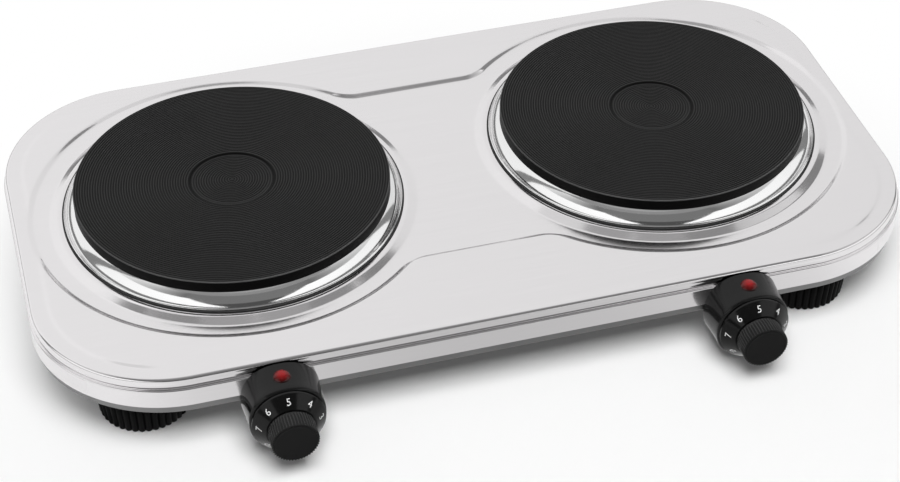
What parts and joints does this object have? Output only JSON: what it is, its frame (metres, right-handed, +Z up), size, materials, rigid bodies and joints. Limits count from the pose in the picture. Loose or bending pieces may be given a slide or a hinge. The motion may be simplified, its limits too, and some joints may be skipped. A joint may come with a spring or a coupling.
{
  "type": "hot plate burner",
  "caption": "Flat stainless table-top cooker with round cast-iron hot plates, polished trim rings and front thermostat knobs with indicator lamps.",
  "frame": {"origin": "on the table, at the middle of the outline seen from above, knobs and cord gland included", "axes": "+X to the right along the case, +Y to the rear away from the knobs, +Z up"},
  "size_m": [0.519, 0.3198, 0.063],
  "materials": {
    "stainless": "brushed stainless sheet",
    "polished_steel": "polished pressed ring",
    "cast_iron": "black heat-proof coating with fine turned grooves",
    "pan_steel": "dark grey coated steel",
    "housing_plastic": "satin black moulding",
    "knob_plastic": "satin black moulding with white numbers",
    "cap_plastic": "matt black disc",
    "red_lens": "clear red lens",
    "lamp_glass": "clear glass",
    "rubber": "matt black rubber",
    "ceramic": "dull white",
    "element_steel": "heat-darkened sheath",
    "aluminium": "mill finish",
    "thermostat_plastic": "brown phenolic",
    "brass": "plain",
    "wire_sleeve": "glass-fibre sleeve",
    "zinc_steel": "zinc plated"
  },
  "bodies": {
    "root": {"base_pan": "pan_steel", "base_screws": "zinc_steel", "cord_gland": "housing_plastic", "earth_nut": "zinc_steel", "earth_stud": "zinc_steel", "foot_nuts": "zinc_steel", "foot_screws": "zinc_steel", "front_left_foot": "rubber", "front_right_foot": "rubber", "gland_nut": "housing_plastic", "housing_screws": "zinc_steel", "left_clamp_bridge": "zinc_steel", "left_control_housing": "housing_plastic", "left_element_cover": "aluminium", "left_heat_shield": "aluminium", "left_heating_coil": "element_steel", "left_hot_plate": "cast_iron", "left_housing_cover": "housing_plastic", "left_indicator_lens": "red_lens", "left_insulation": "ceramic", "left_neon_lamp": "lamp_glass", "left_plate_stud": "zinc_steel", "left_thermostat_body": "thermostat_plastic", "left_thermostat_bushing": "brass", "left_thermostat_terminals": "brass", "left_trim_ring": "polished_steel", "left_wiring": "wire_sleeve", "rear_left_foot": "rubber", "rear_right_foot": "rubber", "right_clamp_bridge": "zinc_steel", "right_control_housing": "housing_plastic", "right_element_cover": "aluminium", "right_heat_shield": "aluminium", "right_heating_coil": "element_steel", "right_hot_plate": "cast_iron", "right_housing_cover": "housing_plastic", "right_indicator_lens": "red_lens", "right_insulation": "ceramic", "right_neon_lamp": "lamp_glass", "right_plate_stud": "zinc_steel", "right_thermostat_body": "thermostat_plastic", "right_thermostat_bushing": "brass", "right_thermostat_terminals": "brass", "right_trim_ring": "polished_steel", "right_wiring": "wire_sleeve", "standoffs": "zinc_steel", "stud_nuts": "zinc_steel", "terminal_block": "ceramic", "terminal_screws": "brass", "thermostat_nuts": "zinc_steel", "top_shell": "stainless"},
    "left_knob_body": {"left_knob": "knob_plastic", "left_knob_cap": "cap_plastic", "left_thermostat_shaft": "zinc_steel"},
    "right_knob_body": {"right_knob": "knob_plastic", "right_knob_cap": "cap_plastic", "right_thermostat_shaft": "zinc_steel"}
  },
  "joints": [
    {"name": "left_knob_turn", "type": "hinge", "parent": "root", "child": "left_knob_body", "pos_m": [-0.134, -0.1451, 0.0235], "axis": [0, -1, 0], "range_deg": [-84, 231]},
    {"name": "right_knob_turn", "type": "hinge", "parent": "root", "child": "right_knob_body", "pos_m": [0.134, -0.1451, 0.0235], "axis": [0, -1, 0], "range_deg": [-84, 231]}
  ]
}
